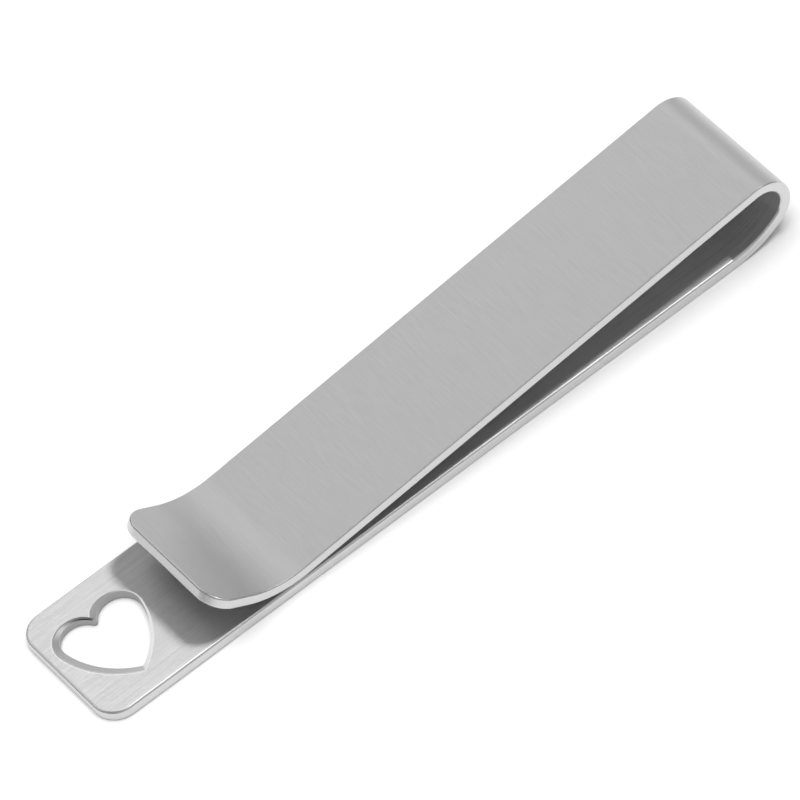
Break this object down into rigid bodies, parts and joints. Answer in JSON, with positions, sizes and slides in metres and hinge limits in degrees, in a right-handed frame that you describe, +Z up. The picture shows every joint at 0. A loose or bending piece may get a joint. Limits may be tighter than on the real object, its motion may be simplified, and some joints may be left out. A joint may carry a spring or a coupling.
{
  "type": "tie clip",
  "caption": "Slide-on tie clip bent from one strip of brushed spring steel: a show bar with a punched heart, a rounded bow and a sprung leg with a flared lift lip.",
  "frame": {"origin": "on the show face of the bar, under the middle of the clip's length and width", "axes": "+X along the clip towards the bow, +Y across the strip towards the heart's lobes, +Z up from the show face to the leg"},
  "size_m": [0.055, 0.01, 0.0054],
  "materials": {
    "strip_steel": "fine brushed stainless steel with softly broken edges"
  },
  "bodies": {
    "bar": {"front_bar": "strip_steel", "sweep_bend": "strip_steel"},
    "leg": {"crown_bend": "strip_steel", "spring_leg": "strip_steel", "heel_bend": "strip_steel", "lift_lip": "strip_steel"}
  },
  "joints": [
    {"name": "leg_flex", "type": "hinge", "parent": "bar", "child": "leg", "pos_m": [0.02654, 0, 0.0013], "axis": [0, 1, 0], "range_deg": [0, 6], "stiffness_Nm_per_rad": 4}
  ]
}
